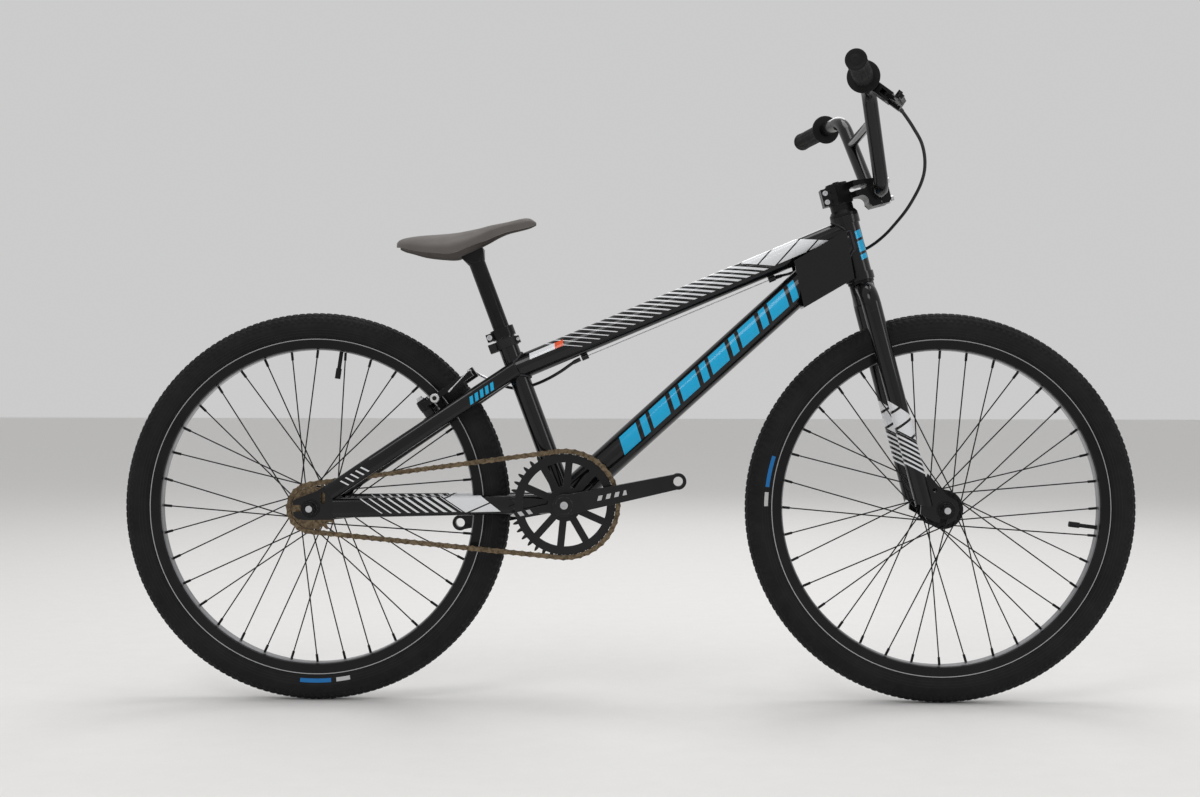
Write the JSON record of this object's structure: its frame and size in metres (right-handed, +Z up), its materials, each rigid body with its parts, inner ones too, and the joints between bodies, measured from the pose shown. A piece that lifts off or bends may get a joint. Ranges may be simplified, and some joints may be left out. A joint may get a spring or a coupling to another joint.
{
  "type": "bmx bike",
  "caption": "Race cruiser BMX bike: black frame and fork, high handlebar with crossbar, spoked wheels, single-speed chain drive, low saddle and rear rim brake.",
  "frame": {"origin": "on the ground, midway between the two axles, in the middle plane", "axes": "+X forward, +Y to the rider's left, +Z up; wheels stand on Z = 0"},
  "size_m": [1.5569, 0.7192, 0.9412],
  "materials": {
    "frame_paint": "gloss black paint",
    "black_alloy": "satin black anodised",
    "crank_black": "satin black",
    "silver_steel": "zinc plated",
    "spoke_black": "black spokes",
    "chain_bronze": "worn bronze-brown steel",
    "tyre_black": "matte black rubber",
    "grip_rubber": "matte black rubber",
    "housing_black": "black cable housing",
    "pad_rubber": "black brake rubber",
    "saddle_grey": "satin warm dark grey",
    "clamp_plastic": "black plastic"
  },
  "bodies": {
    "frame": {"head_tube": "frame_paint", "top_tube": "frame_paint", "down_tube": "frame_paint", "seat_tube": "frame_paint", "bottom_bracket_shell": "frame_paint", "chainstays": "frame_paint", "seatstays": "frame_paint", "rear_dropouts": "frame_paint", "braze_ons": "frame_paint", "headset_bearings": "silver_steel", "bottom_bracket_bearings": "black_alloy", "seat_clamp": "black_alloy", "seat_clamp_bolts": "silver_steel", "reflector_bracket": "clamp_plastic", "rear_axle": "silver_steel", "rear_axle_nuts": "black_alloy", "brake_pivot_bolts": "silver_steel", "brake_wire": "silver_steel", "rear_housing": "housing_black", "chain": "chain_bronze"},
    "seat": {"seatpost": "black_alloy", "saddle": "saddle_grey"},
    "steering": {"fork_crown": "frame_paint", "fork_leg_left": "frame_paint", "fork_leg_right": "frame_paint", "headset_rings": "black_alloy", "stem": "black_alloy", "stem_faceplate": "black_alloy", "stem_bolts": "silver_steel", "steerer_cap": "black_alloy", "handlebar": "frame_paint", "grip_left": "grip_rubber", "grip_right": "grip_rubber", "lever_perch": "black_alloy", "barrel_adjuster": "black_alloy", "front_housing": "housing_black", "front_axle": "silver_steel", "front_axle_nuts": "black_alloy"},
    "brake_lever": {"brake_lever": "black_alloy"},
    "front_wheel": {"front_hub": "black_alloy", "front_spokes": "spoke_black", "front_rim": "black_alloy", "front_tyre": "tyre_black", "front_tube_valve": "tyre_black"},
    "rear_wheel": {"rear_hub": "black_alloy", "rear_spokes": "spoke_black", "rear_rim": "black_alloy", "rear_tyre": "tyre_black", "rear_tube_valve": "tyre_black"},
    "freewheel": {"freewheel": "chain_bronze"},
    "cranks": {"crank_spindle": "silver_steel", "crank_right": "crank_black", "crank_left": "crank_black", "chainring": "crank_black", "crank_bolts": "silver_steel"},
    "brake_arm_left": {"brake_arm_left": "black_alloy", "brake_pad_left": "pad_rubber", "noodle": "silver_steel"},
    "brake_arm_right": {"brake_arm_right": "black_alloy", "brake_pad_right": "pad_rubber"}
  },
  "joints": [
    {"name": "steering", "type": "hinge", "parent": "frame", "child": "steering", "pos_m": [0.45046, 0, 0.29149], "axis": [-0.2504, 0, 0.9681], "range_deg": [-80, 80], "deforming": ["front_housing"]},
    {"name": "front_wheel_spin", "type": "hinge", "parent": "steering", "child": "front_wheel", "pos_m": [0.4795, 0, 0.299], "axis": [0, 1, 0], "continuous": true},
    {"name": "rear_wheel_spin", "type": "hinge", "parent": "frame", "child": "rear_wheel", "pos_m": [-0.4795, 0, 0.299], "axis": [0, 1, 0], "continuous": true},
    {"name": "crank_spin", "type": "hinge", "parent": "frame", "child": "cranks", "pos_m": [-0.09477, 0, 0.3055], "axis": [0, 1, 0], "continuous": true, "deforming": ["chain"]},
    {"name": "freewheel_spin", "type": "hinge", "parent": "frame", "child": "freewheel", "pos_m": [-0.4795, 0, 0.299], "axis": [0, 1, 0], "continuous": true},
    {"name": "seatpost_slide", "type": "slide", "parent": "frame", "child": "seat", "axis": [-0.3502, 0, 0.9367], "range_m": [-0.03, 0.04]},
    {"name": "brake_lever_pull", "type": "hinge", "parent": "steering", "child": "brake_lever", "pos_m": [0.36507, -0.22118, 0.89337], "axis": [-0.5961, 0.1378, -0.791], "range_deg": [0, 18], "stiffness_Nm_per_rad": 2, "springref_deg": -5.73},
    {"name": "brake_arm_left_close", "type": "hinge", "parent": "frame", "child": "brake_arm_left", "pos_m": [-0.30951, 0.04, 0.45463], "axis": [0.5604, 0, -0.8282], "range_deg": [0, 3.4], "deforming": ["rear_housing"]},
    {"name": "brake_arm_right_close", "type": "hinge", "parent": "frame", "child": "brake_arm_right", "pos_m": [-0.30951, -0.04, 0.45463], "axis": [-0.5604, 0, 0.8282], "range_deg": [0, 3.4]}
  ],
  "couplings": [
    {"joint": "freewheel_spin", "follows": "crank_spin", "ratio": 2.2222},
    {"joint": "brake_arm_left_close", "follows": "brake_lever_pull", "ratio": 0.18839},
    {"joint": "brake_arm_right_close", "follows": "brake_lever_pull", "ratio": 0.18839}
  ]
}
